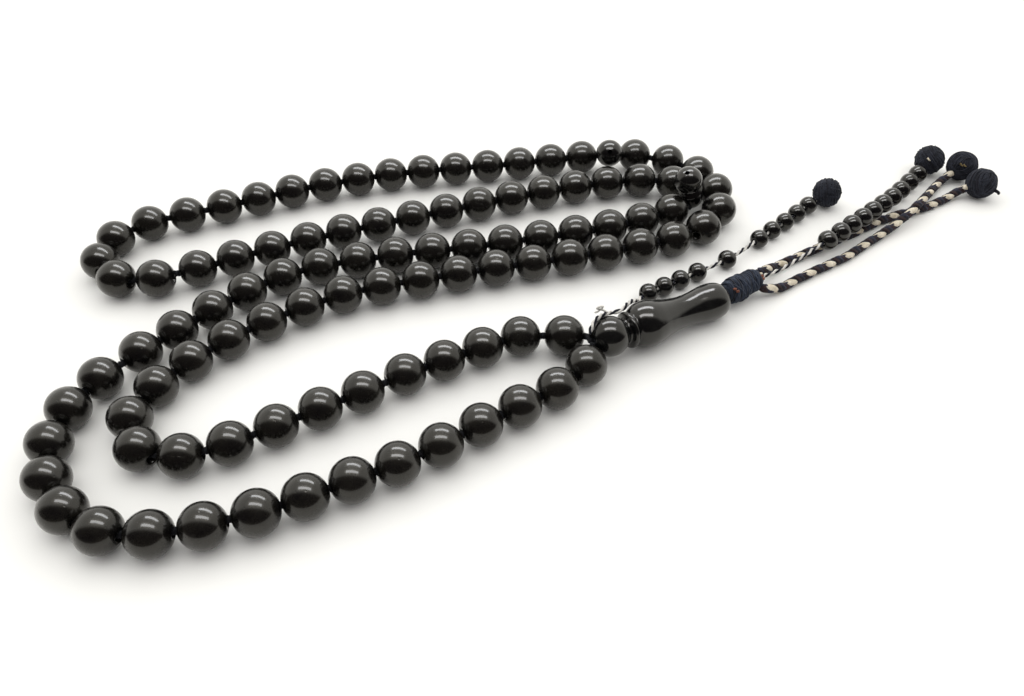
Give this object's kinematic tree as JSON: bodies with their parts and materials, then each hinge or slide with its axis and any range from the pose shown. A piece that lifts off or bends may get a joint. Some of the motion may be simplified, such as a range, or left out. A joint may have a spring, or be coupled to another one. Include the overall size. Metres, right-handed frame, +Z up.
{
  "type": "prayer beads",
  "caption": "Closed string of round black prayer beads with turned dividers, a long turned leader and a tassel of braids and sliding counters ending in wound balls.",
  "frame": {"origin": "bottom centre of the string, leader and counters as they lie, on the surface they lie on; braids, threads and wound balls left out of the measure", "axes": "+Z up from the surface; +X along the rows of beads towards the tassel; +Y away from the leader, towards the far row"},
  "size_m": [0.2641, 0.1527, 0.0171],
  "materials": {
    "bead_black": "polished near-black with an olive cast and small chips",
    "leader_black": "turned and polished near-black, faint ring marks",
    "divider_black": "polished near-black",
    "counter_black": "polished near-black",
    "main_string": "dull black cord",
    "twisted_thread": "black and off-white plies twisted together",
    "braid": "dark plait with cream flecks at an even pitch",
    "neck_yarn": "navy thread wound in close turns with copper-brown spots",
    "ball_yarn": "navy and black yarn wound into a ball with pale flecks"
  },
  "bodies": {
    "field": {"beads_row_one": "bead_black", "string_row_one": "main_string", "bead_before_divider": "bead_black", "beads_row_two": "bead_black", "string_row_two": "main_string", "beads_row_three": "bead_black", "string_row_three": "main_string", "beads_row_four": "bead_black", "string_row_four": "main_string", "beads_lower_row": "bead_black", "string_lower_row": "main_string"},
    "left_loop": {"beads_left_loop": "bead_black", "string_left_loop": "main_string"},
    "left_bend": {"beads_left_bend": "bead_black", "string_left_bend": "main_string"},
    "right_bend": {"beads_right_bend": "bead_black", "string_right_bend": "main_string"},
    "front": {"beads_front_upper": "bead_black", "string_front_upper": "main_string", "beads_front_lower": "bead_black", "string_front_lower": "main_string"},
    "first_bead": {"bead_first": "bead_black"},
    "last_bead": {"bead_last": "bead_black"},
    "divider_one": {"divider_one": "divider_black"},
    "divider_two": {"divider_two": "divider_black"},
    "leader": {"leader": "leader_black", "string_in_leader": "main_string", "loop_thread": "twisted_thread"},
    "neck": {"neck_wrap": "neck_yarn"},
    "upper_braid": {"braid_upper": "braid", "ball_upper_braid": "ball_yarn"},
    "lower_braid": {"braid_lower": "braid", "ball_lower_braid": "ball_yarn"},
    "string_one": {"thread_one": "twisted_thread", "ball_counter_one": "ball_yarn"},
    "string_two": {"thread_two": "twisted_thread", "ball_counter_two": "ball_yarn"},
    "counter_one_1": {"counter_one_1": "counter_black"},
    "counter_one_2": {"counter_one_2": "counter_black"},
    "counter_one_3": {"counter_one_3": "counter_black"},
    "counter_one_4": {"counter_one_4": "counter_black"},
    "counter_one_5": {"counter_one_5": "counter_black"},
    "counter_one_6": {"counter_one_6": "counter_black"},
    "counter_one_7": {"counter_one_7": "counter_black"},
    "counter_one_8": {"counter_one_8": "counter_black"},
    "counter_one_9": {"counter_one_9": "counter_black"},
    "counter_one_10": {"counter_one_10": "counter_black"},
    "counter_two_1": {"counter_two_1": "counter_black"},
    "counter_two_2": {"counter_two_2": "counter_black"},
    "counter_two_3": {"counter_two_3": "counter_black"},
    "counter_two_4": {"counter_two_4": "counter_black"},
    "counter_two_5": {"counter_two_5": "counter_black"},
    "counter_two_6": {"counter_two_6": "counter_black"},
    "counter_two_7": {"counter_two_7": "counter_black"},
    "counter_two_8": {"counter_two_8": "counter_black"},
    "counter_two_9": {"counter_two_9": "counter_black"},
    "counter_two_10": {"counter_two_10": "counter_black"}
  },
  "joints": [
    {"name": "left_loop_fold", "type": "hinge", "parent": "field", "child": "left_loop", "pos_m": [-0.096, 0.0249, 0.005], "axis": [0.0034, 1, 0], "range_deg": [0, 30]},
    {"name": "left_bend_fold", "type": "hinge", "parent": "field", "child": "left_bend", "pos_m": [-0.081, -0.0461, 0.005], "axis": [-0.6376, 0.7704, 0], "range_deg": [0, 30]},
    {"name": "right_bend_fold", "type": "hinge", "parent": "field", "child": "right_bend", "pos_m": [0.0398, 0.049, 0.005], "axis": [0.139, -0.9903, 0], "range_deg": [0, 10]},
    {"name": "front_fold", "type": "hinge", "parent": "field", "child": "front", "pos_m": [-0.0316, -0.041, 0.005], "axis": [0.4212, -0.9069, 0], "range_deg": [0, 25]},
    {"name": "first_bead_slide", "type": "slide", "parent": "front", "child": "first_bead", "axis": [0.9998, 0.02, 0], "range_m": [-0.0003, 0.0003]},
    {"name": "last_bead_slide", "type": "slide", "parent": "front", "child": "last_bead", "axis": [0.6869, 0.7267, 0], "range_m": [-0.0002, 0.0002]},
    {"name": "divider_one_spin", "type": "hinge", "parent": "field", "child": "divider_one", "pos_m": [0.0234, 0.0709, 0.005], "axis": [-0.9976, 0.0698, 0], "range_deg": [0, 115]},
    {"name": "divider_two_spin", "type": "hinge", "parent": "field", "child": "divider_two", "pos_m": [0.04625, 0.047, 0.005], "axis": [-0.2399, -0.8496, -0.4698], "range_deg": [-12, 8]},
    {"name": "leader_lift", "type": "hinge", "parent": "front", "child": "leader", "pos_m": [0.0166, -0.0159, 0.00645], "axis": [0.4789, -0.8779, 0], "range_deg": [0, 45]},
    {"name": "neck_swing", "type": "hinge", "parent": "leader", "child": "neck", "pos_m": [0.0479, 0.0018, 0.0044], "axis": [0, 0, 1], "range_deg": [-25, 2]},
    {"name": "upper_braid_lift", "type": "hinge", "parent": "neck", "child": "upper_braid", "pos_m": [0.059, 0.0119, 0.0042], "axis": [0.4911, -0.8711, 0], "range_deg": [0, 35]},
    {"name": "lower_braid_lift", "type": "hinge", "parent": "upper_braid", "child": "lower_braid", "pos_m": [0.0599, 0.0077, 0.0035], "axis": [0.613, -0.7901, 0], "range_deg": [0, 30]},
    {"name": "string_one_lift", "type": "hinge", "parent": "leader", "child": "string_one", "pos_m": [0.0244, -0.0034, 0.0074], "axis": [0.6538, -0.7567, 0], "range_deg": [0, 50]},
    {"name": "string_two_lift", "type": "hinge", "parent": "upper_braid", "child": "string_two", "pos_m": [0.0593, 0.0096, 0.0045], "axis": [0.6697, -0.7426, 0], "range_deg": [0, 35]},
    {"name": "counter_one_1_slide", "type": "slide", "parent": "string_one", "child": "counter_one_1", "axis": [0.8491, 0.5283, 0], "range_m": [0, 0.0007]},
    {"name": "counter_one_2_slide", "type": "slide", "parent": "counter_one_1", "child": "counter_one_2", "axis": [0.851, 0.5251, 0], "range_m": [0, 0.0008]},
    {"name": "counter_one_3_slide", "type": "slide", "parent": "counter_one_2", "child": "counter_one_3", "axis": [0.8471, 0.5315, 0], "range_m": [0, 0.0009]},
    {"name": "counter_one_4_slide", "type": "slide", "parent": "counter_one_3", "child": "counter_one_4", "axis": [0.8475, 0.5308, 0], "range_m": [0, 0.002]},
    {"name": "counter_one_5_slide", "type": "slide", "parent": "string_one", "child": "counter_one_5", "axis": [0.7504, 0.6609, 0], "range_m": [0, 0.0034]},
    {"name": "counter_one_10_slide", "type": "slide", "parent": "string_one", "child": "counter_one_10", "axis": [-0.7403, -0.6714, -0.0344], "range_m": [0, 0.0006]},
    {"name": "counter_one_9_slide", "type": "slide", "parent": "counter_one_10", "child": "counter_one_9", "axis": [-0.723, -0.6909, 0], "range_m": [0, 0.0007]},
    {"name": "counter_one_8_slide", "type": "slide", "parent": "counter_one_9", "child": "counter_one_8", "axis": [-0.7457, -0.6663, 0], "range_m": [0, 0.0007]},
    {"name": "counter_one_7_slide", "type": "slide", "parent": "counter_one_8", "child": "counter_one_7", "axis": [-0.7305, -0.6829, 0], "range_m": [0, 0.0007]},
    {"name": "counter_one_6_slide", "type": "slide", "parent": "counter_one_7", "child": "counter_one_6", "axis": [-0.7504, -0.6609, 0], "range_m": [0, 0.0015]},
    {"name": "counter_two_10_slide", "type": "slide", "parent": "string_two", "child": "counter_two_10", "axis": [-0.6742, -0.7385, -0.008], "range_m": [0, 0.00045]},
    {"name": "counter_two_9_slide", "type": "slide", "parent": "counter_two_10", "child": "counter_two_9", "axis": [-0.6669, -0.7445, 0.031], "range_m": [0, 0.00045]},
    {"name": "counter_two_8_slide", "type": "slide", "parent": "counter_two_9", "child": "counter_two_8", "axis": [-0.6644, -0.7416, 0.0927], "range_m": [0, 0.00045]},
    {"name": "counter_two_7_slide", "type": "slide", "parent": "counter_two_8", "child": "counter_two_7", "axis": [-0.6631, -0.7307, 0.1624], "range_m": [0, 0.00045]},
    {"name": "counter_two_6_slide", "type": "slide", "parent": "counter_two_7", "child": "counter_two_6", "axis": [-0.703, -0.703, 0.107], "range_m": [0, 0.00045]},
    {"name": "counter_two_5_slide", "type": "slide", "parent": "counter_two_6", "child": "counter_two_5", "axis": [-0.7432, -0.6688, 0.0186], "range_m": [0, 0.00045]},
    {"name": "counter_two_4_slide", "type": "slide", "parent": "counter_two_5", "child": "counter_two_4", "axis": [-0.7591, -0.6507, 0.0181], "range_m": [0, 0.00045]},
    {"name": "counter_two_3_slide", "type": "slide", "parent": "counter_two_4", "child": "counter_two_3", "axis": [-0.7591, -0.6507, -0.0181], "range_m": [0, 0.00045]},
    {"name": "counter_two_2_slide", "type": "slide", "parent": "counter_two_3", "child": "counter_two_2", "axis": [-0.787, -0.616, -0.0342], "range_m": [0, 0.00045]},
    {"name": "counter_two_1_slide", "type": "slide", "parent": "counter_two_2", "child": "counter_two_1", "axis": [-0.7871, -0.6154, -0.0429], "range_m": [0, 0.007]}
  ]
}
